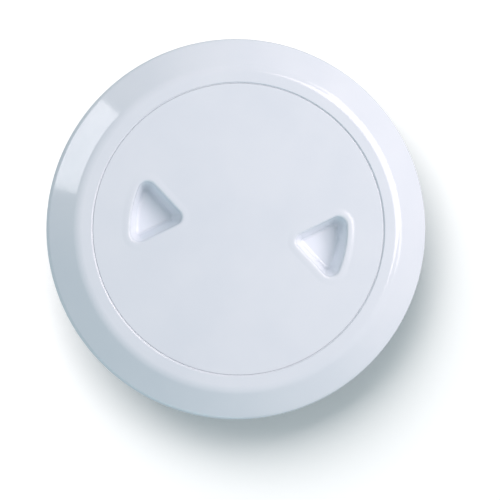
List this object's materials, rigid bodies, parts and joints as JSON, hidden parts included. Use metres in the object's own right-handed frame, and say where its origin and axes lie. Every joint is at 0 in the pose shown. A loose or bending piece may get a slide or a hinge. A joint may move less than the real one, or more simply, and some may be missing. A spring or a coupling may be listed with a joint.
{
  "type": "inspection port",
  "caption": "Round screw-out inspection port with a clip-on bevelled trim ring, hidden screws and a flat lid with two closed finger recesses.",
  "frame": {"origin": "on the port's axis, in the plane of the panel that it is fixed to, which is the underside of its gasket", "axes": "+Z out of the panel towards the lid, X through the two finger recesses when the lid is screwed home"},
  "size_m": [0.163, 0.163, 0.037],
  "materials": {
    "ring_plastic": "satin moulded white plastic",
    "trim_plastic": "glossy moulded white plastic, slightly cool",
    "lid_plastic": "glossy moulded white plastic, slightly cool",
    "seal_rubber": "smooth black rubber",
    "gasket_rubber": "matt black closed-cell rubber sheet",
    "screw_steel": "plain stainless steel"
  },
  "bodies": {
    "frame": {"mounting_ring": "ring_plastic", "trim_ring": "trim_plastic", "deck_gasket": "gasket_rubber", "deck_screw_1": "screw_steel", "deck_screw_2": "screw_steel", "deck_screw_3": "screw_steel", "deck_screw_4": "screw_steel"},
    "seal_lift": {"lid_seal": "seal_rubber"},
    "lid_body": {"lid": "lid_plastic"}
  },
  "joints": [
    {"name": "lid_lift", "type": "slide", "parent": "frame", "child": "seal_lift", "axis": [0, 0, 1], "range_m": [0, 0.0065]},
    {"name": "lid_turn", "type": "hinge", "parent": "seal_lift", "child": "lid_body", "pos_m": [0, 0, 0], "axis": [0, 0, 1], "range_deg": [0, 468]}
  ],
  "couplings": [
    {"joint": "lid_lift", "follows": "lid_turn", "m_per_rad": 0.00079577}
  ]
}
